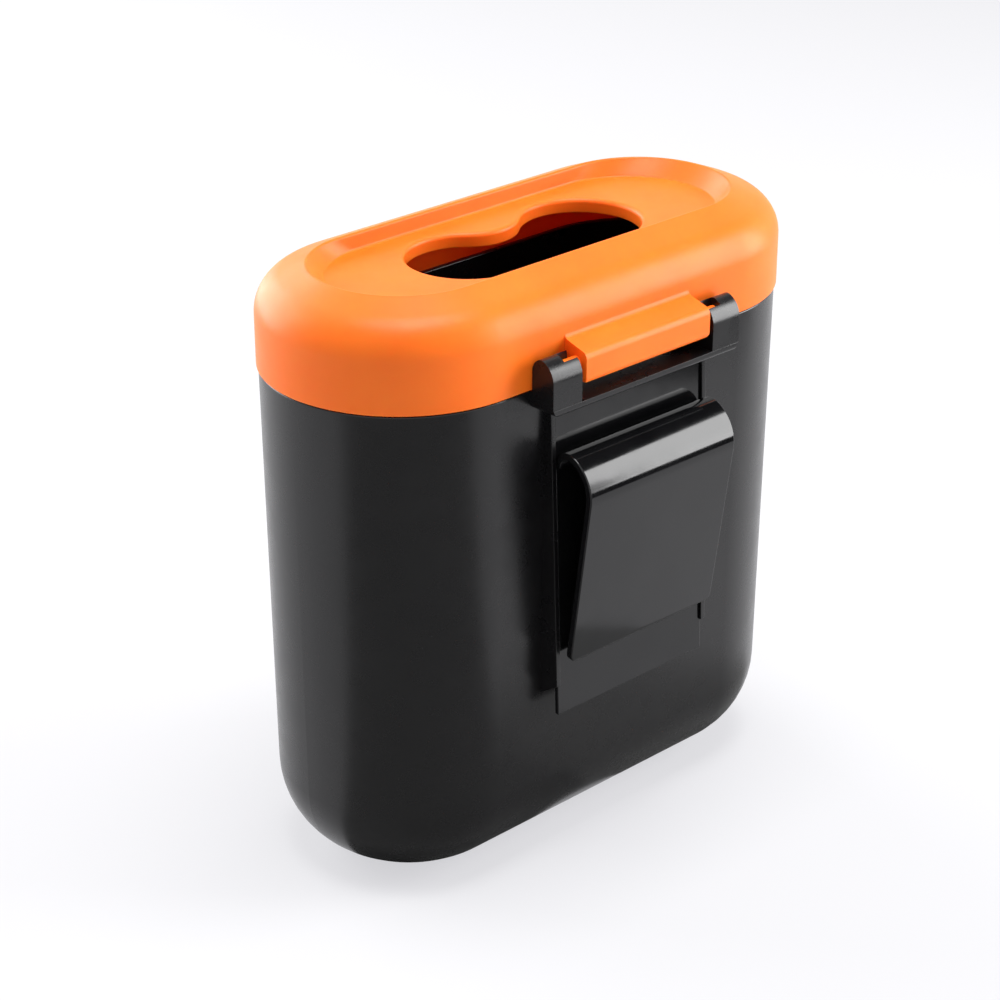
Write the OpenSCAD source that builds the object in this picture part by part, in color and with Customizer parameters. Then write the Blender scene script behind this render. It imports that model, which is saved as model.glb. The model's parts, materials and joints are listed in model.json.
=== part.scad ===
// Car trash bin: an oval tub, a hinged lid with a waved opening, and a clip that
// hangs the bin on a door pocket or a seat pocket.
// X runs along the width, +Y points to the clip side, +Z up, origin under the tub's centre.

/* [Bin] */
// Width of the lid, the widest part of the bin
bin_w = 170; // [150:1:200]
// Depth of the lid without hinge and clip
bin_d = 79; // [72:1:88]
// Height of the joint between tub and lid
seam_z = 149; // [140:1:165]

/* [Tub] */
// Wall thickness of the tub
tub_wall = 2; // [1.4:0.1:2.6]
// Thickness of the tub's floor
tub_floor = 2.2; // [1.6:0.1:3.5]
// How far the tub's wall stands in from the lid's skirt
tub_step = 0.6; // [0.3:0.1:1.2]
// How much the tub narrows on each side from the joint to the floor
tub_draft = 1.5; // [0.5:0.1:3]
// Radius of the tub's rounded bottom edge
bottom_r = 28; // [16:1:29]
// Height of the neck inside the lid's skirt
neck_h = 6; // [3:0.5:8]
// Wall thickness of the neck
neck_wall = 1.8; // [1.2:0.1:2.4]

/* [Lid] */
// Wall thickness of the lid
lid_wall = 1.8; // [1.4:0.1:2.2]
// Height of the lid's upright skirt
skirt_h = 14.7; // [12:0.1:16]
// Radius of the round between skirt and sloping top
shoulder_r = 11; // [8:0.5:12]
// Distance from the lid's edge in to the crest of its rim
crest_in = 14; // [12:0.5:16]
// Height of the crest above the joint
crest_h = 28; // [27:0.5:32]
// Radius of the crest's outer edge
crest_r = 0.8; // [0.4:0.1:1.4]
// Depth of the sunk panel below the crest
panel_drop = 4.6; // [3:0.1:5.5]
// How far the sunk panel's wall leans in at the long sides
panel_lean_side = 1.4; // [0.5:0.1:3]
// How far the sunk panel's wall leans in at the two ends
panel_lean_end = 5.5; // [2:0.1:8]

/* [Opening] */
// Radius of the opening's two round lobes
lobe_r = 17.2; // [14:0.1:18]
// Distance from the opening's middle to the centre of each lobe
lobe_x = 21.4; // [19:0.1:24]
// How far the opening's middle lies in front of the tub's middle
mouth_shift = 0.5; // [0:0.1:2]
// Distance from the lobes' centre line to the tip of the wave between them
wave_tip = 9.1; // [6:0.1:12]
// Thickness of the collar round the opening
collar_wall = 1.8; // [1.2:0.1:2.4]
// How far the collar hangs below the sunk panel
collar_drop = 2.4; // [1:0.1:4]

/* [Hinge] */
// Distance from the lid's skirt out to the hinge line
hinge_out = 4.3; // [4.2:0.1:5.5]
// Height of the hinge line above the joint
hinge_up = 6; // [5:0.1:7]
// Distance from the hinge line out to the front of the ears and the leaf
hinge_front = 4; // [3.8:0.1:4.6]
// Half the distance between the two ears
ear_in = 25.1; // [20:0.1:27]
// Width of each ear
ear_w = 10.5; // [8:0.1:12]
// Height of the ears above the hinge line
ear_high = 4.1; // [3.8:0.1:4.4]
// Radius of the round at the ears' upper front edge
ear_round = 6; // [5:0.1:6.5]
// Radius of the ears' crown, between that round and the one about the hinge line
ear_crown = 2; // [1.5:0.1:2.5]
// Diameter of the pins moulded on the lid's leaf
pin_d = 4; // [3.4:0.1:4.2]
// Length of each pin
pin_l = 6; // [4:0.1:8]
// How much narrower than the pin each side of the seat's mouth is
mouth_pinch = 0.2; // [0.1:0.05:0.3]
// How much the seat's mouth widens on each side towards its top
mouth_flare = 0.5; // [0.2:0.1:0.8]
// Gap between each end of the leaf and its ear
leaf_gap = 1.5; // [0.5:0.1:3]
// Height of the leaf's underside above the skirt's lower edge
leaf_up = 0.4; // [0.2:0.1:2]
// Height above the hinge line at which the leaf's top meets its front
leaf_high = 3.5; // [3:0.1:4.5]
// Fall of the leaf's top towards its front, in degrees
leaf_slope = 17.5; // [5:0.5:25]
// Radius of the leaf's front edges
leaf_r = 2.2; // [1.5:0.1:2.8]
// Radius of the leaf's two lower corners, seen from the front
leaf_corner = 1.8; // [0.5:0.1:3]
// Radius of the hollow where the leaf's top runs into the skirt
leaf_root_r = 4; // [2:0.5:4.5]
// Distance from the joint down to the top of the ledge under the ears
ledge_down = 3.25; // [2:0.05:4]
// Thickness of the ledge
ledge_t = 2.05; // [1.8:0.05:4]
// How far the ledge stands out from the ears
ledge_proud = 0.2; // [0.1:0.05:0.4]
// Radius of the ledge's lower edge
ledge_r = 1; // [0.5:0.1:1.5]
// Radius of the bracket's two lower corners, seen from the front
bracket_corner = 2.4; // [1:0.1:4]

/* [Clip] */
// Width of the clip's spring tongue
clip_w = 56; // [46:1:60]
// How far the back plate's edges reach past the tongue on each side
plate_edge = 0.8; // [0.7:0.05:1.2]
// Thickness of the clip's back plate
plate_t = 1.3; // [1.1:0.1:2]
// Thickness of the clip's spring tongue
tongue_t = 2.1; // [1.6:0.1:2.6]
// Lean of the back plate away from upright, in degrees
plate_lean = 2.3; // [1.5:0.1:3]
// Distance from the ledge down to the lower end of the back plate
plate_h = 93.1; // [88:0.1:98]
// Outer radius of the tight top of the bend, where it leaves the back plate
bend_top_r = 4.9; // [4:0.1:6]
// Outer radius of the wide front of the bend, where it passes into the tongue
bend_front_r = 11.8; // [9:0.1:14]
// Angle above level at which the bend's front passes into its top, in degrees
bend_turn = 66; // [50:1:80]
// Distance from the ledge down to the centre of the bend's top
bend_down = 17.9; // [16:0.1:24]
// How deep the bend's back is let into the back plate
bend_bite = 0.2; // [0.1:0.05:0.4]
// Lean of the tongue towards the tub, in degrees
tongue_lean = 7.8; // [6:0.1:8.5]
// Height of the tongue's tip above the lower end of the back plate
tip_up = 17.4; // [12:0.1:24]
// Radius of the tongue's two lower corners
tip_corner = 3; // [1:0.5:6]

/* [Rails] */
// Thickness of each rail beside the back plate's edge
rail_web = 1; // [0.8:0.1:2]
// Thickness of the lip in front of the back plate's edge
lip_t = 0.8; // [0.6:0.1:1.4]
// How far the lip reaches over the back plate's edge
lip_grip = 0.5; // [0.3:0.05:0.7]
// Distance from the lower end of the back plate up to the rails' lower end
rail_up = 4.5; // [3:0.1:10]
// Height of the slanted foot at the lower end of each rail
rail_foot = 5; // [3:0.5:8]

/* [Fits] */
// Gap between parts that move past each other
gap = 0.3; // [0.25:0.05:0.4]
// Gap round the hinge pins, measured on the radius
pin_gap = 0.05; // [0.02:0.01:0.1]
// Gap between the clip's back plate and its seat
seat_gap = 0.1; // [0.05:0.05:0.15]

/* [Hidden] */
$fn = 96;
ARC_STEPS = 16;
// Small overlap that joins shapes, and the reach of a cut past the face it opens
eps = 0.01;
past = 1;

orange = [0.98, 0.50, 0.14];
satin_black = [0.16, 0.16, 0.17];
gloss_black = [0.09, 0.09, 0.10];

// Plan of the bin: two half circles of radius end_r about (+-end_x, 0), joined by straights
end_r = bin_d / 2;
end_x = (bin_w - bin_d) / 2;

// Tub wall: radius at a height, from the end circles' centre, and centre of the bottom round
draft_angle = atan(tub_draft / seam_z);
function wall_r(z) = end_r - tub_step - tub_draft * (seam_z - z) / seam_z;
bottom_cx = wall_r(0) + bottom_r * tan(draft_angle) - bottom_r / cos(draft_angle);

// Hinge line
hinge_y = end_r + hinge_out;
hinge_z = seam_z + hinge_up;

// The neck stands clear of the skirt's lower edge as the lid swings open
swing_r = norm([hinge_out + lid_wall, hinge_up - gap]);
neck_r = hinge_y - swing_r - gap;
neck_top = seam_z + neck_h;
neck_chamfer = neck_wall / 3;

// Lid levels
skirt_bottom = seam_z + gap;
shoulder_z = skirt_bottom + skirt_h;
crest_z = seam_z + crest_h;
panel_z = crest_z - panel_drop;
collar_z = panel_z - lid_wall - collar_drop;

// The slope touches the shoulder's round below and the crest's round above
slope_run = crest_in - shoulder_r;
slope_rise = crest_z - crest_r - shoulder_z;
slope_angle = acos((shoulder_r - crest_r) / norm([slope_run, slope_rise])) - atan2(slope_run, slope_rise);

// The wave between the two lobes is an arc that touches both of them
wave_r = (pow(lobe_x, 2) + pow(wave_tip, 2) - pow(lobe_r, 2)) / (2 * (lobe_r - wave_tip));
wave_touch = lobe_r * (wave_tip + wave_r) / (lobe_r + wave_r);

// Bracket: two ears on a ledge. The ears' back is round about the hinge line, clear of the swinging skirt
hinge = [hinge_y, hinge_z];
front_y = hinge_y + hinge_front;
ear_out = ear_in + ear_w;
ear_r = hinge_out - gap;
ear_top = hinge_z + ear_high;
ledge_top = seam_z - ledge_down;
ledge_bottom = ledge_top - ledge_t;
ledge_front = front_y + ledge_proud;
seat_r = pin_d / 2 + pin_gap;
seat_mouth = pin_d / 2 - mouth_pinch;
wall_root = tub_wall / 2;

// The ears' crown touches the round about the hinge line on one side and the front round on the other
round_centre = [front_y - ear_round, ear_top - ear_round];
crown_centre = crossing(hinge, ear_r - ear_crown, round_centre, ear_round - ear_crown);
crown_from = direction(hinge, crown_centre);
crown_to = direction(round_centre, crown_centre);

// Leaf: a bar on the skirt between the ears
leaf_half = ear_in - leaf_gap;
leaf_bottom = skirt_bottom + leaf_up;
leaf_corner_z = hinge_z + leaf_high;

// Clip: the back plate stands under the ledge and leans out as it goes down
plate_top = ledge_bottom - seat_gap;
plate_bottom = plate_top - plate_h;
plate_half = clip_w / 2 + plate_edge;
plate_y_top = wall_r(ledge_bottom) + seat_gap + plate_t;
function plate_y(z) = plate_y_top + (plate_top - z) * tan(plate_lean);
bend_z = plate_top - bend_down;
bend_y = plate_y(bend_z) + bend_top_r - bend_bite;
wide_z = bend_z - (bend_front_r - bend_top_r) * sin(bend_turn);
wide_y = bend_y - (bend_front_r - bend_top_r) * cos(bend_turn);
tip_z = plate_bottom + tip_up;
tip_r = tongue_t / 2;
tip_y = wide_y + bend_front_r / cos(tongue_lean) - (wide_z - tip_z) * tan(tongue_lean)
    - tip_r * (1 - sin(tongue_lean)) / cos(tongue_lean);

// Rails
rail_out = plate_half + seat_gap + rail_web;
rail_in = plate_half - lip_grip;
rail_bottom = plate_bottom + rail_up;

// Points on an arc, from one angle to another
function arc(c, r, from, to) =
    [for (i = [0 : ARC_STEPS]) let (a = from + (to - from) * i / ARC_STEPS) c + r * [cos(a), sin(a)]];

// Direction from one point to another
function direction(a, b) = atan2(b[1] - a[1], b[0] - a[0]);

// Where two circles cross, on the upper left of the line from the first centre to the second
function crossing(a, ra, b, rb) =
    let (
        way = b - a,
        far = norm(way),
        along = (ra * ra - rb * rb + far * far) / (2 * far),
        aside = sqrt(ra * ra - along * along)
    )
    a + (along * way + aside * [way[1], -way[0]]) / far;

// A profile drawn from the end circles' centre outwards, swept round the oval plan
module oval_sweep() {
    for (side = [-1, 1])
        translate([side * end_x, 0, 0])
            rotate([0, 0, -side * 90])
                rotate_extrude(angle = 180)
                    children();
    for (side = [0, 1])
        mirror([0, side, 0])
            along_x(-end_x, end_x)
                children();
}

// A profile in the Y and Z plane, extruded along X from one place to another
module along_x(from, to) {
    translate([from, 0, 0])
        rotate([90, 0, 90])
            linear_extrude(height = to - from)
                children();
}

// A front view in the X and Z plane, extruded along Y from one place to another
module along_y(from, to) {
    translate([0, to, 0])
        rotate([90, 0, 0])
            linear_extrude(height = to - from)
                children();
}

// Front view of a plate, with two round lower corners
module round_foot(half, low, high, corner) {
    for (side = [-1, 1])
        translate([side * (half - corner), low + corner])
            circle(r = corner);
    translate([-half + corner, low])
        square([2 * (half - corner), corner]);
    translate([-half, low + corner])
        square([2 * half, high - low - corner]);
}

// The same shape at both ends of the hinge or the clip
module both_sides() {
    for (side = [0, 1])
        mirror([side, 0, 0])
            children();
}

// Tub: outline of the outside, with its rounded bottom and its neck
module tub_outside() {
    polygon(concat(
        [[0, 0]],
        arc([bottom_cx, bottom_r], bottom_r, -90, -draft_angle),
        [[wall_r(seam_z), seam_z], [neck_r, seam_z], [neck_r, neck_top - neck_chamfer]],
        [[neck_r - neck_chamfer, neck_top], [0, neck_top]]
    ));
}

module tub_hollow() {
    inner_r = bottom_r - tub_wall;
    top_r = wall_r(seam_z) - tub_wall;
    neck_in = neck_r - neck_wall;
    polygon(concat(
        [[0, tub_floor]],
        arc([bottom_cx, tub_floor + inner_r], inner_r, -90, -draft_angle),
        [[top_r, seam_z - tub_wall - (top_r - neck_in)], [neck_in, seam_z - tub_wall]],
        [[neck_in, neck_top + past], [0, neck_top + past]]
    ));
}

// Outline of an ear: rounded at the top, upright down to the ledge, joined to the wall below the lid
module ear_outline() {
    polygon(concat(
        [[hinge_y - ear_r, ledge_top - eps]],
        arc(hinge, ear_r, 180, crown_from),
        arc(crown_centre, ear_crown, crown_from, crown_to),
        arc(round_centre, ear_round, crown_to, 0),
        [[front_y, ledge_top - eps]]
    ));
    translate([wall_r(ledge_top) - wall_root, ledge_top - eps])
        square([hinge_y - wall_r(ledge_top) + wall_root, ledge_down]);
}

// Pin seat in an ear: a bore that opens upwards through a slightly narrower mouth
module pin_seat() {
    translate(hinge) {
        circle(r = seat_r);
        polygon([
            [-seat_mouth, 0],
            [seat_mouth, 0],
            [seat_mouth, pin_d / 2],
            [seat_mouth + mouth_flare, ear_high + eps],
            [-seat_mouth - mouth_flare, ear_high + eps],
            [-seat_mouth, pin_d / 2]
        ]);
    }
}

module ledge_outline() {
    polygon(concat(
        [[wall_r(ledge_top) - wall_root, ledge_top], [wall_r(ledge_top) - wall_root, ledge_bottom]],
        arc([ledge_front - ledge_r, ledge_bottom + ledge_r], ledge_r, -90, 0),
        [[ledge_front, ledge_top]]
    ));
}

module hinge_bracket() {
    intersection() {
        union() {
            both_sides()
                difference() {
                    along_x(ear_in, ear_out)
                        ear_outline();
                    along_x(ear_in - past, leaf_half + pin_l + gap)
                        pin_seat();
                }
            along_x(-ear_out, ear_out)
                ledge_outline();
        }
        along_y(wall_r(ledge_top) - tub_wall, ledge_front + past)
            round_foot(ear_out, ledge_bottom, ear_top + past, bracket_corner);
    }
}

// Side view of a rail: a wedge on the tub's wall, its front along the back plate, ending in a slanted foot
module rail_outline() {
    foot_top = rail_bottom + rail_foot;
    polygon([
        [wall_r(ledge_bottom) - wall_root, ledge_bottom + eps],
        [plate_y(ledge_bottom) + lip_t, ledge_bottom + eps],
        [plate_y(foot_top) + lip_t, foot_top],
        [wall_r(rail_bottom) - wall_root, rail_bottom]
    ]);
}

// The room for the back plate's edges, open at the bottom so that the plate slides in
module plate_room() {
    room_bottom = plate_bottom - past;
    polygon([
        [plate_y(ledge_bottom) - plate_t - seat_gap, ledge_bottom],
        [plate_y(ledge_bottom) + seat_gap, ledge_bottom],
        [plate_y(room_bottom) + seat_gap, room_bottom],
        [plate_y(room_bottom) - plate_t - seat_gap, room_bottom]
    ]);
}

module clip_rails() {
    difference() {
        both_sides()
            along_x(rail_in, rail_out)
                rail_outline();
        along_x(-plate_half - seat_gap, plate_half + seat_gap)
            plate_room();
    }
}

module tub() {
    color(satin_black)
        difference() {
            union() {
                oval_sweep()
                    tub_outside();
                hinge_bracket();
                clip_rails();
            }
            oval_sweep()
                tub_hollow();
        }
}

// Lid: outline of its outside, or of the hollow when it is taken in by the wall
module lid_outline(inset, bottom) {
    polygon(concat(
        [[0, bottom], [end_r - inset, bottom]],
        arc([end_r - shoulder_r, shoulder_z], shoulder_r - inset, 0, 90 - slope_angle),
        inset == 0
            ? arc([end_r - crest_in, crest_z - crest_r], crest_r, 90 - slope_angle, 90)
            : [[end_r - crest_in, crest_z - crest_r - (inset - crest_r) / cos(slope_angle)]],
        [[0, crest_z - inset]]
    ));
}

// The sunk panel: wide at the crest, narrower at its floor, and leaning more at the two ends
module panel_recess(grow) {
    rim_r = end_r - crest_in + grow;
    hull() {
        translate([0, 0, crest_z])
            linear_extrude(height = past)
                stadium(end_x + rim_r, rim_r);
        translate([0, 0, panel_z - grow])
            linear_extrude(height = eps)
                stadium(end_x + rim_r - panel_lean_end, rim_r - panel_lean_side);
    }
}

// Stadium of half length hx and half width hy
module stadium(hx, hy) {
    for (side = [-1, 1])
        translate([side * (hx - hy), 0])
            circle(r = hy);
    square([2 * (hx - hy), 2 * hy], center = true);
}

// Opening: two round lobes, a straight edge towards the hinge, and a wave between them in front
module mouth(grow) {
    translate([0, -mouth_shift])
        difference() {
            union() {
                for (side = [-1, 1])
                    translate([side * lobe_x, 0])
                        circle(r = lobe_r + grow);
                translate([-lobe_x, -wave_touch])
                    square([2 * lobe_x, wave_touch + lobe_r + grow]);
            }
            translate([0, -wave_tip - wave_r])
                circle(r = wave_r - grow);
        }
}

// The lid's shell: skin, tray of the sunk panel, and collar, before the opening is cut
module lid_shell() {
    difference() {
        oval_sweep()
            lid_outline(0, skirt_bottom);
        oval_sweep()
            lid_outline(lid_wall, skirt_bottom - past);
    }
    intersection() {
        panel_recess(lid_wall);
        oval_sweep()
            lid_outline(0, skirt_bottom);
    }
    translate([0, 0, collar_z])
        linear_extrude(height = collar_drop + eps)
            mouth(collar_wall);
}

// Side view of the hinge leaf: a rounded front, and a top that rises and runs into the skirt in a hollow
module leaf_outline() {
    root_y = end_r - lid_wall / 2;
    edge_y = front_y - leaf_r;
    edge_z = leaf_corner_z - leaf_r * (1 - sin(leaf_slope)) / cos(leaf_slope);
    hollow_y = end_r + leaf_root_r;
    hollow_z = leaf_corner_z + (leaf_root_r + (front_y - hollow_y) * sin(leaf_slope)) / cos(leaf_slope);
    polygon(concat(
        [[root_y, leaf_bottom]],
        arc([edge_y, leaf_bottom + leaf_r], leaf_r, -90, 0),
        arc([edge_y, edge_z], leaf_r, 0, 90 - leaf_slope),
        arc([hollow_y, hollow_z], leaf_root_r, 270 - leaf_slope, 180),
        [[root_y, hollow_z]]
    ));
}

// The leaf between the ears, with a pin at each end
module hinge_leaf() {
    intersection() {
        along_x(-leaf_half, leaf_half)
            leaf_outline();
        along_y(end_r - lid_wall, front_y + past)
            round_foot(leaf_half, leaf_bottom, crest_z, leaf_corner);
    }
    both_sides()
        translate([leaf_half - past, hinge_y, hinge_z])
            rotate([0, 90, 0])
                cylinder(d = pin_d, h = pin_l + past);
}

module lid() {
    color(orange) {
        difference() {
            lid_shell();
            panel_recess(0);
            translate([0, 0, collar_z - past])
                linear_extrude(height = crest_z - collar_z + 2 * past)
                    mouth(0);
        }
        hinge_leaf();
    }
}

// Side view of the clip: back plate, bend and spring tongue
module plate_outline() {
    polygon([
        [plate_y(plate_top) - plate_t, plate_top],
        [plate_y(plate_top), plate_top],
        [plate_y(plate_bottom), plate_bottom],
        [plate_y(plate_bottom) - plate_t, plate_bottom]
    ]);
}

// The bend starts inside the back plate, turns over a tight top and a wide front,
// and ends along the leaning tongue
module tongue_outline() {
    root_y = plate_y(bend_z) - plate_t / 2;
    polygon(concat(
        [[root_y, bend_z]],
        arc([bend_y, bend_z], bend_top_r, 180, bend_turn),
        arc([wide_y, wide_z], bend_front_r, bend_turn, -tongue_lean),
        arc([tip_y, tip_z + tip_r], tip_r, -tongue_lean, -180 - tongue_lean),
        arc([wide_y, wide_z], bend_front_r - tongue_t, -tongue_lean, bend_turn),
        arc([bend_y, bend_z], bend_top_r - tongue_t, bend_turn, 180),
        [[root_y, bend_z - tongue_t]]
    ));
}

module hanging_clip() {
    color(gloss_black) {
        along_x(-plate_half, plate_half)
            plate_outline();
        intersection() {
            along_x(-clip_w / 2, clip_w / 2)
                tongue_outline();
            along_y(end_r - tub_wall, wide_y + 2 * bend_front_r)
                round_foot(clip_w / 2, tip_z, bend_z + bend_top_r + past, tip_corner);
        }
    }
}

tub();
lid();
hanging_clip();
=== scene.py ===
"""Looks of the car trash bin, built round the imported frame.

Lengths are in millimetres until a mesh is made, and in metres from there on.
X runs along the bin's width, +Y points to the clip side, +Z up.
"""
import json
import math

import bmesh
import bpy
from mathutils import Matrix, Vector


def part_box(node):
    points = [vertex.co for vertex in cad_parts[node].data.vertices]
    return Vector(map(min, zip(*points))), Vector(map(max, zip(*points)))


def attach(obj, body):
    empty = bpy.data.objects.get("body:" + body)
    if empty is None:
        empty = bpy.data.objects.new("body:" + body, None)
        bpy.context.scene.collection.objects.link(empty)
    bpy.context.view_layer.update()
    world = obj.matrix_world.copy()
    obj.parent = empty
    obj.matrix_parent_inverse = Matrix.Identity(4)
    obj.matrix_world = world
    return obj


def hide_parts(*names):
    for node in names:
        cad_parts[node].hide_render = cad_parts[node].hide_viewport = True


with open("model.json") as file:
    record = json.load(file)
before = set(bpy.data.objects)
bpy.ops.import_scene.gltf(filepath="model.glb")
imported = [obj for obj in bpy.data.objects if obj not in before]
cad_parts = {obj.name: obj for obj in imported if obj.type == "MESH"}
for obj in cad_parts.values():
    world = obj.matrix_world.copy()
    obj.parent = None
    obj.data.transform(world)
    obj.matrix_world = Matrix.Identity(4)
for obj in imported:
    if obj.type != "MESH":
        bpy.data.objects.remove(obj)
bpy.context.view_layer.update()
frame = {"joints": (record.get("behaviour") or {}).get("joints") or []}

MM = 0.001


def box_mm(node):
    """Lowest and highest corner of a node of the frame, in millimetres."""
    low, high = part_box(node)
    return low / MM, high / MM


lid_low, lid_high = box_mm("lid")
_, tub_high = box_mm("tub")
clip_low, clip_high = box_mm("hanging_clip")
hinge_line = Vector(frame["joints"][0]["pos_m"]) / MM

# Plan of the bin: two half circles of radius end_r about (+-end_x, 0), joined by straights
end_r = -lid_low.y
end_x = lid_high.x - end_r
ARC_STEPS = 48
# A corner's radius as a share of the width, just under half
CORNER_SHARE = 0.49999
# How far a cutter reaches past what it cuts
CUT_OVER = 1

# Tub
lid_lift = 0.3
seam_z = lid_low.z - lid_lift
tub_wall = 2.0
tub_floor = 2.2
tub_step = 0.6
tub_draft = 1.5
bottom_r = 28.0
neck_wall = 1.8
neck_h = 6.0
neck_top = seam_z + neck_h
floor_flat = 6.0
seam_edge = 0.5
neck_root_r = 0.3
neck_edge = 0.5
neck_under_r = 1.0
step_under_r = 2.0

# Lid
skirt_bottom = lid_low.z
crest_z = lid_high.z
lid_wall = 1.8
skirt_h = 14.7
shoulder_r = 11.0
crest_in = 14.0
crest_r = 0.8
crest_under_r = 0.2
panel_drop = 4.6
panel_lean_side = 1.4
panel_lean_end = 5.5
panel_r = 0.9
panel_under_r = 0.6
panel_flat = 3.0
skirt_edge = 0.45
shoulder_z = skirt_bottom + skirt_h
panel_z = crest_z - panel_drop

# Opening of the lid: two lobes, a straight edge towards the hinge and a wave in front
lobe_r = 17.2
lobe_x = 21.4
mouth_shift = 0.5
wave_tip = 9.1
collar_wall = 1.8
collar_drop = 2.4
mouth_edge = 1.3
mouth_land = 0.3
collar_edge = 0.4

# Hinge: two ears on a ledge of the tub, and the lid's leaf between them with a pin at each end
gap = 0.3
hinge_y = hinge_line.y
hinge_z = hinge_line.z
hinge_front = 4.0
front_y = hinge_y + hinge_front
ear_in = 25.1
ear_out = 35.6
ear_r = hinge_y - end_r - gap
ear_rise = 4.1
ear_top = hinge_z + ear_rise
ear_round = 6.0
ear_crown = 2.0
ear_edge = 0.3
ear_sink = 0.5
ledge_front = tub_high.y
ledge_under = 3.25
ledge_t = 2.05
ledge_top = seam_z - ledge_under
ledge_bottom = ledge_top - ledge_t
ledge_r = 1.0
ledge_edge = 0.35
bracket_corner = 2.4
pin_r = 2.0
pin_l = 6.0
pin_root = 1
pin_edge = 0.5
pin_tip_r = 0.6
pin_play = 0.05
mouth_pinch = 0.2
seat_r = pin_r + pin_play
seat_mouth = pin_r - mouth_pinch
mouth_flare = 0.5
leaf_half = 23.6
leaf_lift = 0.4
leaf_rise = 3.5
leaf_bottom = skirt_bottom + leaf_lift
leaf_corner_z = hinge_z + leaf_rise
leaf_slope = math.radians(15.5)
leaf_r = 2.2
leaf_corner = 1.8
leaf_root_r = 1.5
leaf_edge = 1.1

# The neck stands clear of the skirt's lower edge as the lid swings open
neck_r = hinge_y - math.hypot(hinge_y - end_r + lid_wall, hinge_z - skirt_bottom) - gap

# Clip and its rails
plate_half = clip_high.x
plate_top = clip_high.z
plate_bottom = clip_low.z
plate_t = 1.3
plate_edge = 0.25
plate_lean = math.radians(2.3)
tongue_inset = 0.8
tongue_half = plate_half - tongue_inset
tongue_t = 2.1
tongue_edge = 0.35
tongue_lean = math.radians(7.8)
bend_top_r = 4.9
bend_front_r = 11.8
bend_turn = math.radians(66)
bend_under = 17.9
bend_z = plate_top - bend_under
bend_bite = 0.2
tip_up = 17.4
tip_z = plate_bottom + tip_up
tip_corner = 3.0
tip_half_t = 0.25
# Distances from the tip at which the tongue gets a section
TIP_SECTIONS = (3.0, 2.4, 1.8, 1.3, 0.9, 0.6, 0.35, 0.18, 0.07, 0.0)
root_up = 0.6
root_down = 0.2
root_inset = 0.05
seat_gap = 0.1
rail_web = 1.0
lip_t = 0.8
lip_grip = 0.5
rail_up = 4.5
rail_bottom = plate_bottom + rail_up
rail_foot = 5.0
rail_edge = 0.2
rail_start = 0.4

# Camera of the photograph: where it stands, what it looks at, and its focal length in image widths
CAMERA_AT = Vector((464.936, 487.315, 416.073))
CAMERA_TO = Vector((9.934, 0.0, 95.254))
FOCAL = 2.584738
SENSOR = 36.0


def wall_r(z):
    """Radius of the tub's outside at a height, from the end circles' centre."""
    return end_r - tub_step - tub_draft * (seam_z - z) / seam_z


def plate_y(z):
    """Front of the clip's back plate at a height."""
    top = wall_r(ledge_bottom) + seat_gap + plate_t
    return top + (plate_top - z) * math.tan(plate_lean)


def arc(centre, radius, start, end, steps):
    """Points of an arc from one angle to another, both ends included."""
    turn = (end - start) / steps
    return [
        (centre[0] + radius * math.cos(start + turn * i), centre[1] + radius * math.sin(start + turn * i))
        for i in range(steps + 1)
    ]


def rounded(corners, steps=6, closed=False):
    """A line through corners (u, v, radius), each corner rounded where its radius isn't 0."""
    points = []
    count = len(corners)
    for i, (u, v, radius) in enumerate(corners):
        here = Vector((u, v))
        if radius == 0 or (not closed and i in (0, count - 1)):
            points.append((u, v))
            continue
        before = (Vector(corners[i - 1][:2]) - here).normalized()
        after = (Vector(corners[(i + 1) % count][:2]) - here).normalized()
        half = before.angle(after) / 2
        middle = here + (before + after).normalized() * (radius / math.sin(half))
        start = here + before * (radius / math.tan(half)) - middle
        end = here + after * (radius / math.tan(half)) - middle
        first = math.atan2(start.y, start.x)
        sweep = math.atan2(end.y, end.x) - first
        sweep = (sweep + math.pi) % (2 * math.pi) - math.pi
        points += arc(middle, radius, first, first + sweep, steps)
    return points


def add_ring(bm, points):
    """The vertices of one ring, in order."""
    return [bm.verts.new(p) for p in points]


def bridge(bm, ring_a, ring_b):
    """Quads between two closed rings of as many points."""
    count = len(ring_a)
    for i in range(count):
        j = (i + 1) % count
        bm.faces.new((ring_a[i], ring_a[j], ring_b[j], ring_b[i]))


def fill_flat(bm, *rings):
    """Fills a flat ring, or the flat area between an outer and an inner ring."""
    edges = []
    for ring in rings:
        for i, vert in enumerate(ring):
            edges.append(bm.edges.get((vert, ring[(i + 1) % len(ring)])))
    bmesh.ops.triangle_fill(bm, use_beauty=True, use_dissolve=False, edges=edges)


def new_piece(name, bm):
    """Turns a bmesh in millimetres into an object in metres, with its faces outward."""
    bmesh.ops.remove_doubles(bm, verts=bm.verts, dist=0.0005)
    bmesh.ops.recalc_face_normals(bm, faces=bm.faces)
    bmesh.ops.scale(bm, vec=(MM, MM, MM), verts=bm.verts)
    mesh = bpy.data.meshes.new(name)
    bm.to_mesh(mesh)
    bm.free()
    piece = bpy.data.objects.new(name, mesh)
    bpy.context.scene.collection.objects.link(piece)
    return piece


def apply_modifiers(piece):
    """Replaces a piece's mesh with what its modifiers make of it."""
    graph = bpy.context.evaluated_depsgraph_get()
    graph.update()
    mesh = bpy.data.meshes.new_from_object(piece.evaluated_get(graph))
    piece.modifiers.clear()
    piece.data = mesh
    return piece


def join_solids(piece, others, operation="UNION"):
    """Adds other solids to a piece, or cuts them out of it, and removes them."""
    for other in others:
        cut = piece.modifiers.new("join", "BOOLEAN")
        cut.operation = operation
        cut.solver = "EXACT"
        cut.object = other
    apply_modifiers(piece)
    for other in others:
        bpy.data.objects.remove(other)
    return piece


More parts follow.
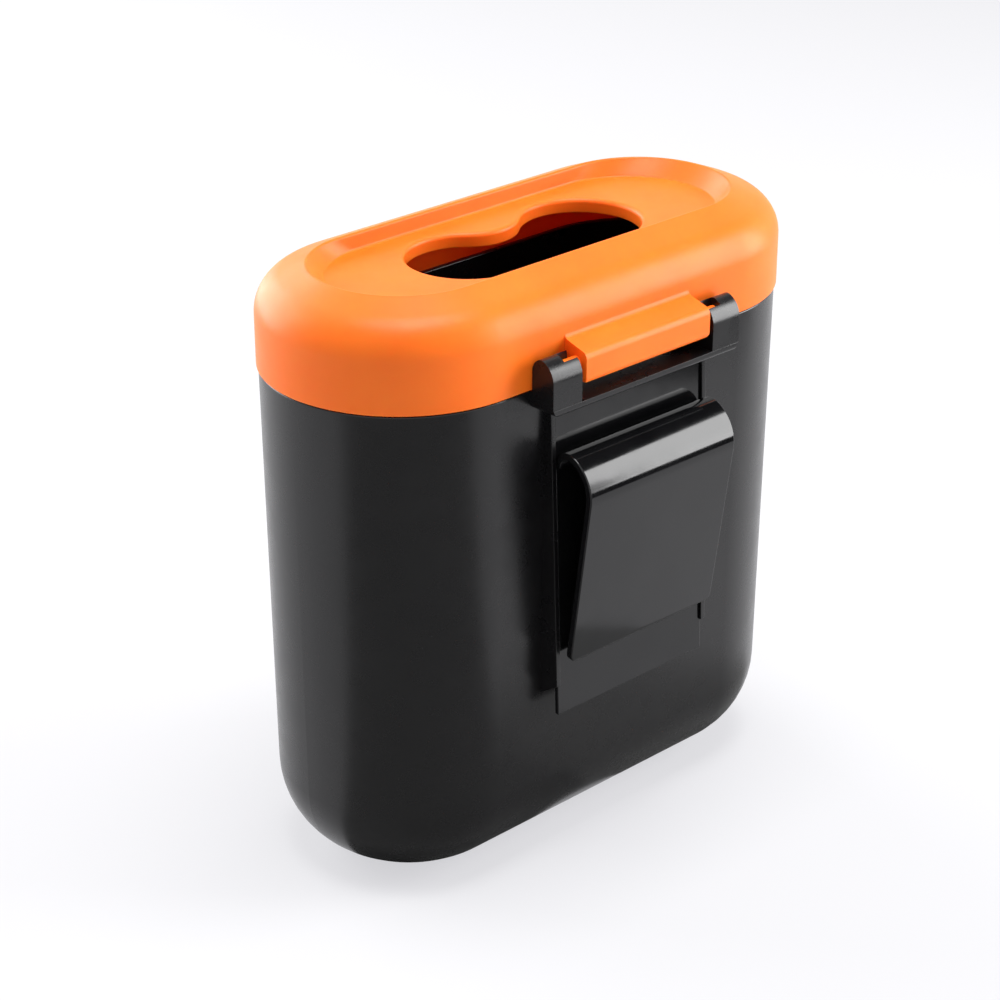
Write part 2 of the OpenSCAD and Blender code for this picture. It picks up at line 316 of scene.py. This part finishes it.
def round_edges(piece, width, segments=3, angle=math.radians(35)):
    """Rounds every edge of a solid that is sharper than an angle."""
    bevel = piece.modifiers.new("round", "BEVEL")
    bevel.width = width * MM
    bevel.segments = segments
    bevel.limit_method = "ANGLE"
    bevel.angle_limit = angle
    return apply_modifiers(piece)


def bar(name, outline, low, high, across=False):
    """A solid with an outline in Y and Z from one X to another, or in X and Z from one Y to another."""
    bm = bmesh.new()
    rings = []
    for place in (low, high):
        rings.append(add_ring(bm, [(u, place, z) if across else (place, u, z) for u, z in outline]))
    bridge(bm, *rings)
    for ring in rings:
        bm.faces.new(ring)
    return new_piece(name, bm)


def round_foot(piece, half, low, corner):
    """Rounds a solid's two lower corners, seen from the front."""
    outline = rounded([
        (-half, low, corner),
        (half, low, corner),
        (half, crest_z, 0),
        (-half, crest_z, 0),
    ], steps=8, closed=True)
    return join_solids(piece, [bar("foot", outline, 0, 2 * front_y, across=True)], "INTERSECT")


def smooth_piece(piece, angle=math.radians(32)):
    """Smooth shading that keeps flat faces flat and stops at sharp edges."""
    piece.data.shade_smooth()
    piece.data.set_sharp_from_angle(angle=angle)
    weigh = piece.modifiers.new("flat faces", "WEIGHTED_NORMAL")
    weigh.keep_sharp = True
    weigh.weight = 100
    return apply_modifiers(piece)


def link(tree, source, target):
    """Joins two sockets of a node tree."""
    tree.links.new(source, target)


def oval_sweep_tree():
    """Geometry Nodes: one wall profile, swept round the oval plan."""
    tree = bpy.data.node_groups.new("wall round the oval", "GeometryNodeTree")
    for label, kind in (
        ("Length", "NodeSocketFloat"),
        ("Width", "NodeSocketFloat"),
        ("Corner Steps", "NodeSocketInt"),
        ("Wall Profile", "NodeSocketObject"),
        ("Plastic", "NodeSocketMaterial"),
    ):
        tree.interface.new_socket(label, in_out="INPUT", socket_type=kind)
    tree.interface.new_socket("Wall", in_out="OUTPUT", socket_type="NodeSocketGeometry")
    given = tree.nodes.new("NodeGroupInput")
    made = tree.nodes.new("NodeGroupOutput")
    plan = tree.nodes.new("GeometryNodeCurvePrimitiveQuadrilateral")
    radius = tree.nodes.new("ShaderNodeMath")
    radius.operation = "MULTIPLY"
    radius.inputs[1].default_value = CORNER_SHARE
    corner = tree.nodes.new("GeometryNodeFilletCurve")
    corner.mode = "POLY"
    upright = tree.nodes.new("GeometryNodeSetCurveNormal")
    upright.mode = "Z_UP"
    profile = tree.nodes.new("GeometryNodeObjectInfo")
    sweep = tree.nodes.new("GeometryNodeCurveToMesh")
    weld = tree.nodes.new("GeometryNodeMergeByDistance")
    weld.inputs["Distance"].default_value = 0.005 * MM
    single = tree.nodes.new("GeometryNodeRealizeInstances")
    coat = tree.nodes.new("GeometryNodeSetMaterial")
    link(tree, given.outputs["Length"], plan.inputs["Width"])
    link(tree, given.outputs["Width"], plan.inputs["Height"])
    link(tree, given.outputs["Width"], radius.inputs[0])
    link(tree, plan.outputs["Curve"], corner.inputs["Curve"])
    link(tree, radius.outputs[0], corner.inputs["Radius"])
    link(tree, given.outputs["Corner Steps"], corner.inputs["Count"])
    link(tree, corner.outputs["Curve"], upright.inputs["Curve"])
    link(tree, upright.outputs["Curve"], sweep.inputs["Curve"])
    link(tree, given.outputs["Wall Profile"], profile.inputs["Object"])
    link(tree, profile.outputs["Geometry"], sweep.inputs["Profile Curve"])
    link(tree, sweep.outputs["Mesh"], weld.inputs["Geometry"])
    link(tree, weld.outputs["Geometry"], single.inputs["Geometry"])
    link(tree, single.outputs["Geometry"], coat.inputs["Geometry"])
    link(tree, given.outputs["Plastic"], coat.inputs["Material"])
    link(tree, coat.outputs["Geometry"], made.inputs["Wall"])
    return tree


def profile_curve(points, path_r):
    """The wall profile as a curve: X is the distance out from the path, and Y is the depth under it."""
    curve = bpy.data.curves.new("wall profile", "CURVE")
    curve.dimensions = "3D"
    line = curve.splines.new("POLY")
    line.points.add(len(points) - 1)
    for point, (r, z) in zip(line.points, points):
        point.co = ((r - path_r) * MM, -z * MM, 0, 1)
    piece = bpy.data.objects.new("wall profile", curve)
    bpy.context.scene.collection.objects.link(piece)
    return piece


def tub_profile():
    """Section of the tub from under its floor, up the outside, over the neck and down to the floor inside."""
    inner_top = wall_r(seam_z) - tub_wall
    neck_in = neck_r - neck_wall
    return rounded([
        (floor_flat, 0, 0),
        (wall_r(0), 0, bottom_r),
        (wall_r(seam_z), seam_z, seam_edge),
        (neck_r, seam_z, neck_root_r),
        (neck_r, neck_top, neck_edge),
        (neck_in, neck_top, neck_edge),
        (neck_in, seam_z - tub_wall, neck_under_r),
        (inner_top, seam_z - tub_wall - (inner_top - neck_in), step_under_r),
        (wall_r(0) - tub_wall, tub_floor, bottom_r - tub_wall),
        (floor_flat, tub_floor, 0),
    ], steps=14)


def make_tub_shell(material):
    """The tub's wall, bottom and neck: the section swept round the oval, and its two flat floors."""
    path_r = wall_r(seam_z)
    profile = profile_curve(tub_profile(), path_r)
    mesh = bpy.data.meshes.new("tub_body")
    piece = bpy.data.objects.new("tub_body", mesh)
    bpy.context.scene.collection.objects.link(piece)
    sweep = piece.modifiers.new("sweep", "NODES")
    sweep.node_group = oval_sweep_tree()
    values = {
        "Length": 2 * (end_x + path_r) * MM,
        "Width": 2 * path_r * MM,
        "Corner Steps": ARC_STEPS // 2,
        "Wall Profile": profile,
        "Plastic": material,
    }
    for item in sweep.node_group.interface.items_tree:
        if item.in_out == "INPUT":
            sweep[item.identifier] = values[item.name]
    apply_modifiers(piece)
    bpy.data.objects.remove(profile)
    bm = bmesh.new()
    bm.from_mesh(piece.data)
    rim = [edge for edge in bm.edges if edge.is_boundary]
    bmesh.ops.holes_fill(bm, edges=rim, sides=0)
    bmesh.ops.recalc_face_normals(bm, faces=bm.faces)
    bm.to_mesh(piece.data)
    bm.free()
    return piece


def crossing(a, a_r, b, b_r):
    """Where two circles cross, on the right of the way from the first centre to the second."""
    way = b - a
    along = (a_r ** 2 - b_r ** 2 + way.length_squared) / (2 * way.length)
    aside = math.sqrt(a_r ** 2 - along ** 2)
    return a + (way * along + Vector((way.y, -way.x)) * aside) / way.length


def direction(a, b):
    """Angle of the way from one point to another."""
    return math.atan2(b.y - a.y, b.x - a.x)


def ear_outline():
    """Side view of an ear: upright in front, a large round, a crown, and a back round about the hinge."""
    hinge = Vector((hinge_y, hinge_z))
    front = Vector((front_y - ear_round, ear_top - ear_round))
    crown = crossing(hinge, ear_r - ear_crown, front, ear_round - ear_crown)
    crown_from = direction(hinge, crown)
    crown_to = direction(front, crown)
    root = wall_r(ledge_top) - tub_wall / 2
    foot = ledge_top - ear_sink
    return (
        [(root, foot), (front_y, foot)]
        + arc(front, ear_round, 0, crown_to, 16)
        + arc(crown, ear_crown, crown_to, crown_from, 8)[1:]
        + arc(hinge, ear_r, crown_from, math.pi, 12)[1:]
        + [(hinge_y - ear_r, seam_z), (root, seam_z)]
    )


def make_ear(side):
    """One ear of the hinge, with its pin seat open at the top."""
    ear = bar("ear", ear_outline(), *sorted((side * ear_in, side * ear_out)))
    mouth_angle = math.acos(seat_mouth / seat_r)
    above = ear_top - hinge_z + CUT_OVER
    wide = seat_mouth + mouth_flare * (above - pin_r) / (ear_top - hinge_z - pin_r)
    seat = [
        (hinge_y + y, hinge_z + z)
        for y, z in arc((0, 0), seat_r, mouth_angle, -math.pi - mouth_angle, 28)
        + [(-seat_mouth, pin_r), (-wide, above), (wide, above), (seat_mouth, pin_r)]
    ]
    reach = sorted((side * (ear_in - CUT_OVER), side * (leaf_half + pin_l + gap)))
    join_solids(ear, [bar("seat", seat, *reach)], "DIFFERENCE")
    return round_edges(round_foot(ear, ear_out, ledge_bottom, bracket_corner), ear_edge)


def make_ledge():
    """The ledge that carries both ears, its lower front edge rounded."""
    root = wall_r(ledge_top) - tub_wall / 2
    outline = rounded([
        (root, ledge_top, 0),
        (root, ledge_bottom, 0),
        (ledge_front, ledge_bottom, ledge_r),
        (ledge_front, ledge_top, 0),
    ], steps=6, closed=True)
    ledge = bar("ledge", outline, -ear_out, ear_out)
    return round_edges(round_foot(ledge, ear_out, ledge_bottom, bracket_corner), ledge_edge)


def make_rail(side):
    """One rail: a wedge on the wall with a groove for the back plate's edge and a slanted foot."""
    foot_top = rail_bottom + rail_foot
    root = tub_wall / 2
    outline = [
        (wall_r(ledge_bottom) - root, ledge_bottom + rail_start),
        (plate_y(ledge_bottom) + lip_t, ledge_bottom + rail_start),
        (plate_y(foot_top) + lip_t, foot_top),
        (wall_r(rail_bottom) - root, rail_bottom),
    ]
    rail_in = plate_half - lip_grip
    rail_out = plate_half + seat_gap + rail_web
    rail = bar("rail", outline, *sorted((side * rail_in, side * rail_out)))
    low = plate_bottom - CUT_OVER
    room = [
        (plate_y(ledge_bottom + CUT_OVER) - plate_t - seat_gap, ledge_bottom + CUT_OVER),
        (plate_y(ledge_bottom + CUT_OVER) + seat_gap, ledge_bottom + CUT_OVER),
        (plate_y(low) + seat_gap, low),
        (plate_y(low) - plate_t - seat_gap, low),
    ]
    reach = sorted((side * (rail_in - CUT_OVER), side * (plate_half + seat_gap)))
    join_solids(rail, [bar("room", room, *reach)], "DIFFERENCE")
    return round_edges(rail, rail_edge, segments=2)


def make_tub(material):
    """The tub: its shell, with the ledge, the ears and the rails joined on."""
    tub = make_tub_shell(material)
    parts = [make_ledge()]
    for side in (-1, 1):
        parts += [make_ear(side), make_rail(side)]
    join_solids(tub, parts)
    return smooth_piece(tub)


def oval_ring(side, end):
    """A ring of the lid; side and end are its (radius, height) at the long sides and at the ends."""
    centre = end_x + end[0] - side[0]
    points = []
    for half in (0, 1):
        for i in range(ARC_STEPS + 1):
            angle = -math.pi / 2 + math.pi * i / ARC_STEPS
            x = centre + side[0] * math.cos(angle)
            y = side[0] * math.sin(angle)
            z = side[1] + (end[1] - side[1]) * math.cos(angle) ** 2
            points.append((-x, -y, z) if half else (x, y, z))
    return points


def lid_section(lean):
    """Section of the lid with a given lean of the sunk panel's wall: outer line and inner line."""
    slope_in = crest_in - shoulder_r
    slope_up = crest_z - crest_r - shoulder_z
    touch = math.acos((shoulder_r - crest_r) / math.hypot(slope_in, slope_up))
    slope = touch - math.atan2(slope_in, slope_up)
    outward = Vector((math.sin(slope), math.cos(slope)))
    crest = Vector((end_r - crest_in, crest_z - crest_r))
    drop = panel_drop - crest_r
    wall_lean = math.atan2(lean, drop) - math.asin(crest_r / math.hypot(lean, drop))
    inward = Vector((-math.cos(wall_lean), math.sin(wall_lean)))
    cross = outward.x * inward.y - outward.y * inward.x
    corner = Vector((inward.y - outward.y, outward.x - inward.x)) / cross
    crest_out = crest + corner * crest_r
    crest_under = crest - corner * (lid_wall - crest_r)
    turn = math.tan((math.pi / 2 - slope) / 2)
    floor_out = Vector((crest.x - lean, panel_z))
    under_z = panel_z - lid_wall
    floor_under = floor_out.x + lid_wall * math.tan((math.pi / 2 - wall_lean) / 2)
    outer = rounded([
        (end_r - lid_wall / 2, skirt_bottom, 0),
        (end_r, skirt_bottom, skirt_edge),
        (end_r, shoulder_z + shoulder_r * turn, shoulder_r),
        (crest_out.x, crest_out.y, crest_r),
        (floor_out.x, floor_out.y, panel_r),
        (floor_out.x - panel_flat, panel_z, 0),
    ], steps=14)
    inner_r = shoulder_r - lid_wall
    inner = rounded([
        (floor_out.x - panel_flat, under_z, 0),
        (floor_under, under_z, panel_under_r),
        (crest_under.x, crest_under.y, crest_under_r),
        (end_r - lid_wall, shoulder_z + inner_r * turn, inner_r),
        (end_r - lid_wall, skirt_bottom, skirt_edge),
        (end_r - lid_wall / 2, skirt_bottom, 0),
    ], steps=10)
    return outer, inner


def mouth_ring(grow, z):
    """Outline of the lid's opening, grown by a distance, at a height."""
    wave_r = (lobe_x ** 2 + wave_tip ** 2 - lobe_r ** 2) / (2 * (lobe_r - wave_tip))
    touch = math.atan2(wave_tip + wave_r, lobe_x)
    wave = arc((0, -wave_tip - wave_r), wave_r - grow, math.pi - touch, touch, 20)
    right = arc((lobe_x, 0), lobe_r + grow, touch - math.pi, math.pi / 2, 44)
    left = [(-x, y) for x, y in reversed(right)]
    return [(x, y - mouth_shift, z) for x, y in wave[:-1] + right + left[:-1]]


def make_lid_shell():
    """The lid's skin, outside and inside, and the collar round its opening."""
    bm = bmesh.new()
    outer_side, inner_side = lid_section(panel_lean_side)
    outer_end, inner_end = lid_section(panel_lean_end)
    top = [add_ring(bm, oval_ring(*pair)) for pair in zip(outer_side, outer_end)]
    under = [add_ring(bm, oval_ring(*pair)) for pair in zip(inner_side, inner_end)]
    lip = rounded([
        (mouth_edge + mouth_land, panel_z, 0),
        (0, panel_z, mouth_edge),
        (0, panel_z - lid_wall - collar_drop, collar_edge),
        (collar_wall, panel_z - lid_wall - collar_drop, collar_edge),
        (collar_wall, panel_z - lid_wall, 0),
    ], steps=5)
    collar = [add_ring(bm, mouth_ring(grow, z)) for grow, z in lip]
    for rings in (top, under, collar):
        for ring_a, ring_b in zip(rings, rings[1:]):
            bridge(bm, ring_a, ring_b)
    fill_flat(bm, top[-1], collar[0])
    fill_flat(bm, under[0], collar[-1])
    return new_piece("lid_body", bm)


def make_leaf():
    """The hinge leaf between the ears: round in front, its top rising to a hollow at the skirt."""
    root = end_r - lid_wall / 2
    edge_y = front_y - leaf_r
    edge_z = leaf_corner_z - leaf_r * (1 - math.sin(leaf_slope)) / math.cos(leaf_slope)
    hollow_y = end_r + leaf_root_r
    rise = leaf_root_r + (front_y - hollow_y) * math.sin(leaf_slope)
    hollow_z = leaf_corner_z + rise / math.cos(leaf_slope)
    outline = (
        [(root, leaf_bottom)]
        + arc((edge_y, leaf_bottom + leaf_r), leaf_r, -math.pi / 2, 0, 10)
        + arc((edge_y, edge_z), leaf_r, 0, math.pi / 2 - leaf_slope, 10)
        + arc((hollow_y, hollow_z), leaf_root_r, 1.5 * math.pi - leaf_slope, math.pi, 12)
        + [(root, hollow_z)]
    )
    leaf = round_foot(bar("leaf", outline, -leaf_half, leaf_half), leaf_half, leaf_bottom, leaf_corner)
    return round_edges(leaf, leaf_edge, segments=5)


def make_pin(side):
    """One pin of the leaf, with a rounded end."""
    bm = bmesh.new()
    end = leaf_half + pin_l
    line = rounded([(leaf_half - pin_root, pin_r, 0), (end, pin_r, pin_edge), (end, pin_tip_r, 0)], steps=4)
    around = 40
    rings = []
    turns = [math.tau * i / around for i in range(around)]
    for x, r in line:
        rings.append(add_ring(bm, [
            (side * x, hinge_y + r * math.cos(turn), hinge_z + r * math.sin(turn)) for turn in turns
        ]))
    for ring_a, ring_b in zip(rings, rings[1:]):
        bridge(bm, ring_a, ring_b)
    bm.faces.new(rings[0])
    bm.faces.new(rings[-1])
    return new_piece("pin", bm)


def make_lid():
    """The lid: its skin and collar, with the leaf and the pins joined on."""
    lid = make_lid_shell()
    join_solids(lid, [make_leaf(), make_pin(-1), make_pin(1)])
    return smooth_piece(lid)


def tongue_path():
    """Middle line of the tongue from its root in the plate to its tip, as (y, z, direction) stations."""
    bend_y = plate_y(bend_z) + bend_top_r - bend_bite
    wide_y = bend_y - (bend_front_r - bend_top_r) * math.cos(bend_turn)
    wide_z = bend_z - (bend_front_r - bend_top_r) * math.sin(bend_turn)
    half = tongue_t / 2
    stations = []
    for angle in [math.pi + (bend_turn - math.pi) * i / 16 for i in range(16)]:
        r = bend_top_r - half
        stations.append((bend_y + r * math.cos(angle), bend_z + r * math.sin(angle), angle))
    for angle in [bend_turn + (-tongue_lean - bend_turn) * i / 18 for i in range(19)]:
        r = bend_front_r - half
        stations.append((wide_y + r * math.cos(angle), wide_z + r * math.sin(angle), angle))
    last_y, last_z, angle = stations[-1]
    run = (last_z - tip_z) / math.cos(tongue_lean)
    straight = 20
    for i in range(1, straight + 1):
        along = run * i / straight
        y = last_y - along * math.sin(tongue_lean)
        z = last_z - along * math.cos(tongue_lean)
        stations.append((y, z, angle))
    return stations


def make_tongue():
    """The spring tongue: a rounded strip that follows its path, with two round lower corners."""
    stations = tongue_path()
    tip = Vector(stations[-1][:2])
    finer = [(y, z, angle, (Vector((y, z)) - tip).length) for y, z, angle in stations]
    finer = [station for station in finer if station[3] > tip_corner + 0.2]
    down = Vector((-math.sin(tongue_lean), -math.cos(tongue_lean)))
    for left in TIP_SECTIONS:
        spot = tip - down * left
        finer.append((spot.x, spot.y, -tongue_lean, left))
    bm = bmesh.new()
    rings = []
    for y, z, angle, left in finer:
        into = max(0.0, tip_corner - left)
        half_w = tongue_half - (tip_corner - math.sqrt(tip_corner ** 2 - into ** 2))
        blunt = max(0.0, tongue_t / 2 - left)
        half_t = max(tip_half_t, math.sqrt((tongue_t / 2) ** 2 - blunt ** 2))
        r = min(tongue_edge, half_t * 0.9)
        section = rounded([
            (-half_w, -half_t, r),
            (half_w, -half_t, r),
            (half_w, half_t, r),
            (-half_w, half_t, r),
        ], steps=4, closed=True)
        out_y, out_z = math.cos(angle), math.sin(angle)
        rings.append(add_ring(bm, [(x, y + t * out_y, z + t * out_z) for x, t in section]))
    for ring_a, ring_b in zip(rings, rings[1:]):
        bridge(bm, ring_a, ring_b)
    bm.faces.new(rings[0])
    bm.faces.new(rings[-1])
    return new_piece("tongue", bm)


def make_root():
    """The wedge that joins the bend's back to the plate."""
    back = plate_y(bend_z) - plate_t / 2
    front = plate_y(bend_z) - bend_bite + tongue_t - root_inset
    outline = [
        (back, bend_z + root_up),
        (front, bend_z + root_up),
        (front, bend_z - root_down),
        (back, bend_z - tongue_t),
    ]
    return bar("root", outline, -tongue_half + root_inset, tongue_half - root_inset)


def make_clip():
    """The clip: its leaning back plate, and the tongue bent over from it."""
    outline = [
        (plate_y(plate_top) - plate_t, plate_top),
        (plate_y(plate_top), plate_top),
        (plate_y(plate_bottom), plate_bottom),
        (plate_y(plate_bottom) - plate_t, plate_bottom),
    ]
    plate = round_edges(bar("clip_body", outline, -plate_half, plate_half), plate_edge)
    join_solids(plate, [make_tongue(), make_root()])
    return smooth_piece(plate)


def new_material(name):
    """A material with its node tree and its shader."""
    material = bpy.data.materials.new(name)
    material.use_nodes = True
    return material, material.node_tree, material.node_tree.nodes["Principled BSDF"]


def add_noise(tree, scale, detail=2.0, roughness=0.5):
    """A noise pattern on Object coordinates, its scale in patches per metre."""
    place = tree.nodes.new("ShaderNodeTexCoord")
    noise = tree.nodes.new("ShaderNodeTexNoise")
    noise.inputs["Scale"].default_value = scale
    noise.inputs["Detail"].default_value = detail
    noise.inputs["Roughness"].default_value = roughness
    link(tree, place.outputs["Object"], noise.inputs["Vector"])
    return noise


def spread(tree, source, low, high):
    """Maps the middle of a 0 to 1 pattern to a range of values."""
    span = tree.nodes.new("ShaderNodeMapRange")
    span.inputs["From Min"].default_value = 0.3
    span.inputs["From Max"].default_value = 0.7
    span.inputs["To Min"].default_value = low
    span.inputs["To Max"].default_value = high
    link(tree, source, span.inputs["Value"])
    return span.outputs["Result"]


def moulded_plastic(name, dark, light, rough, grain, height, mottle=60.0):
    """Moulded plastic: slow changes of shade and gloss, and the fine grain that the mould leaves."""
    material, tree, shader = new_material(name)
    clouds = add_noise(tree, mottle, detail=3.0)
    shade = tree.nodes.new("ShaderNodeMix")
    shade.data_type = "RGBA"
    shade.inputs["A"].default_value = (*dark, 1)
    shade.inputs["B"].default_value = (*light, 1)
    link(tree, spread(tree, clouds.outputs["Fac"], 0.0, 1.0), shade.inputs["Factor"])
    link(tree, shade.outputs["Result"], shader.inputs["Base Color"])
    gloss = add_noise(tree, mottle * 2.3, detail=4.0)
    link(tree, spread(tree, gloss.outputs["Fac"], *rough), shader.inputs["Roughness"])
    fine = add_noise(tree, grain, detail=2.0)
    bump = tree.nodes.new("ShaderNodeBump")
    bump.inputs["Strength"].default_value = 0.35
    bump.inputs["Distance"].default_value = height * MM
    link(tree, fine.outputs["Fac"], bump.inputs["Height"])
    link(tree, bump.outputs["Normal"], shader.inputs["Normal"])
    return material, shader


def make_materials():
    """The three plastics; light goes a little way into the orange one, most of it red."""
    tub, shader = moulded_plastic(
        "satin black plastic", (0.0038, 0.0036, 0.0042), (0.0055, 0.0052, 0.0058),
        rough=(0.25, 0.31), grain=2600.0, height=0.012)
    shader.inputs["Specular IOR Level"].default_value = 0.45
    lid, shader = moulded_plastic(
        "orange plastic", (0.94, 0.155, 0.007), (0.98, 0.175, 0.010),
        rough=(0.38, 0.44), grain=2200.0, height=0.02)
    shader.inputs["Specular IOR Level"].default_value = 0.27
    shader.inputs["Subsurface Weight"].default_value = 0.3
    shader.inputs["Subsurface Radius"].default_value = (1.0, 0.15, 0.04)
    shader.inputs["Subsurface Scale"].default_value = 3 * MM
    clip, shader = moulded_plastic(
        "polished black plastic", (0.003, 0.003, 0.0035), (0.005, 0.005, 0.0055),
        rough=(0.08, 0.13), grain=900.0, height=0.004)
    shader.inputs["Specular IOR Level"].default_value = 0.42
    return tub, lid, clip


def put_material(piece, material):
    """Gives every face of a piece one material."""
    piece.data.materials.clear()
    piece.data.materials.append(material)
    for face in piece.data.polygons:
        face.material_index = 0


def seen_by_eye_or_gloss(tree):
    """1 for rays from the camera and for what gloss or glass shows, 0 for rays that carry light."""
    path = tree.nodes.new("ShaderNodeLightPath")
    total = path.outputs["Is Camera Ray"]
    for label in ("Is Glossy Ray", "Is Transmission Ray"):
        either = tree.nodes.new("ShaderNodeMath")
        either.operation = "MAXIMUM"
        link(tree, total, either.inputs[0])
        link(tree, path.outputs[label], either.inputs[1])
        total = either.outputs[0]
    return total


def make_floor():
    """A pale floor with a glow, near white from the photograph's angle, that takes a soft shadow."""
    bm = bmesh.new()
    bmesh.ops.create_grid(bm, x_segments=2, y_segments=2, size=4000)
    floor = new_piece("floor", bm)
    material, tree, shader = new_material("floor")
    shader.inputs["Base Color"].default_value = (0.7, 0.7, 0.7, 1)
    shader.inputs["Roughness"].default_value = 0.9
    shader.inputs["Specular IOR Level"].default_value = 0.1
    shade = tree.nodes.new("ShaderNodeBsdfDiffuse")
    shade.inputs["Color"].default_value = (0.23, 0.23, 0.23, 1)
    glow = tree.nodes.new("ShaderNodeEmission")
    glow.inputs["Color"].default_value = (0.965, 0.96, 1.0, 1)
    glow.inputs["Strength"].default_value = 0.62
    pale = tree.nodes.new("ShaderNodeAddShader")
    link(tree, shade.outputs["BSDF"], pale.inputs[0])
    link(tree, glow.outputs["Emission"], pale.inputs[1])
    choice = tree.nodes.new("ShaderNodeMixShader")
    link(tree, seen_by_eye_or_gloss(tree), choice.inputs["Fac"])
    link(tree, shader.outputs["BSDF"], choice.inputs[1])
    link(tree, pale.outputs["Shader"], choice.inputs[2])
    link(tree, choice.outputs["Shader"], tree.nodes["Material Output"].inputs["Surface"])
    put_material(floor, material)


def make_world():
    """An even grey room, white to the eye and in gloss."""
    world = bpy.data.worlds.new("studio")
    world.use_nodes = True
    bpy.context.scene.world = world
    tree = world.node_tree
    ground = tree.nodes["Background"]
    ground.inputs["Color"].default_value = (0.98, 0.99, 1.0, 1)
    strength = tree.nodes.new("ShaderNodeMapRange")
    strength.inputs["To Min"].default_value = 0.4
    strength.inputs["To Max"].default_value = 1.0
    link(tree, seen_by_eye_or_gloss(tree), strength.inputs["Value"])
    link(tree, strength.outputs["Result"], ground.inputs["Strength"])


def round_bin(azimuth, distance, height=0.0):
    """A place round the bin, its azimuth in degrees from +X to +Y, its lengths in metres."""
    turn = math.radians(azimuth)
    return Vector((distance * math.cos(turn), distance * math.sin(turn), height))


def add_softbox(name, place, target, width, tall, brightness):
    """A large soft lamp that faces a point; its brightness is 1 where it looks as white as paper."""
    lamp = bpy.data.lights.new(name, "AREA")
    lamp.shape = "RECTANGLE"
    lamp.size = width
    lamp.size_y = tall
    lamp.energy = brightness * math.pi * width * tall
    box = bpy.data.objects.new(name, lamp)
    bpy.context.scene.collection.objects.link(box)
    box.matrix_world = aim(place, target)
    box.visible_camera = False


def aim(place, target):
    """Where something stands that looks along its own -Z at a point, its own Y up."""
    turn = (target - place).to_track_quat("-Z", "Y")
    return Matrix.Translation(place) @ turn.to_matrix().to_4x4()


def make_lights():
    """One softbox overhead, and one on each side as the camera sees the bin."""
    add_softbox("softbox right", round_bin(143, 1.0, 0.44), Vector((0, 0, 0.44)),
                width=0.55, tall=0.88, brightness=9.7)
    add_softbox("softbox left", round_bin(-78, 1.1, 0.5), Vector((0, 0, 0.3)),
                width=1.2, tall=1.0, brightness=5.6)
    add_softbox("softbox above", Vector((0, 0.1, 1.3)), Vector((0, 0, 0)),
                width=0.8, tall=0.6, brightness=10.0)


def add_card(name, corners, shade):
    """A dark card that only gloss shows; it darkens what a black part mirrors."""
    bm = bmesh.new()
    bm.faces.new([bm.verts.new(corner / MM) for corner in corners])
    card = new_piece(name, bm)
    material, _, shader = new_material(name)
    shader.inputs["Base Color"].default_value = (shade, shade, shade, 1)
    shader.inputs["Specular IOR Level"].default_value = 0.0
    put_material(card, material)
    card.visible_camera = False
    card.visible_diffuse = False
    card.visible_shadow = False


def fan(first, last, near, far, steps=12):
    """Corners of a piece of a ring just over the floor, between two azimuths and two distances."""
    turns = [first + (last - first) * i / steps for i in range(steps + 1)]
    inner = [round_bin(turn, near, MM) for turn in turns]
    outer = [round_bin(turn, far, MM) for turn in reversed(turns)]
    return inner + outer


def make_cards():
    """Dark cards that only gloss shows, painted darker reflections: three on the floor, on the camera's and
    the clip's side, and one high past the -X end. Near the bin the floor cards are a painted shadow of the
    bin on the floor, as gloss shows it.
    """
    add_card("card right", fan(114, 154, near=0.42, far=0.98), 0.01)
    add_card("card front", fan(2, 94, near=0.03, far=0.62), 0.2)
    # Painted shadow: a grey card close round the clip's side, for the bin's shadow on the floor in what the
    # black parts mirror
    add_card("card low", fan(94, 165, near=0.03, far=0.12), 0.3)
    aside = round_bin(75, 0.6)
    low = round_bin(165, 1.2, 1.14)
    high = round_bin(165, 1.2, 2.0)
    add_card("card above", [low - aside, low + aside, high + aside, high - aside], 0.01)


def make_camera():
    """The photograph's camera, as it was fitted."""
    data = bpy.data.cameras.new("camera")
    data.sensor_fit = "HORIZONTAL"
    data.sensor_width = SENSOR
    data.lens = SENSOR * FOCAL
    data.clip_start = 0.01
    data.clip_end = 50
    camera = bpy.data.objects.new("camera", data)
    bpy.context.scene.collection.objects.link(camera)
    camera.matrix_world = aim(CAMERA_AT * MM, CAMERA_TO * MM)
    bpy.context.scene.camera = camera


def finish_piece(piece, material, node, body):
    """Gives a piece its material and its place in the frame."""
    put_material(piece, material)
    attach(piece, body)
    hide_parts(node)


bpy.context.scene.view_settings.view_transform = "Standard"
make_camera()
make_world()
make_lights()
make_floor()
make_cards()
tub_plastic, lid_plastic, clip_plastic = make_materials()
finish_piece(make_tub(tub_plastic), tub_plastic, "tub", "bin")
finish_piece(make_lid(), lid_plastic, "lid", "lid")
finish_piece(make_clip(), clip_plastic, "hanging_clip", "bin")
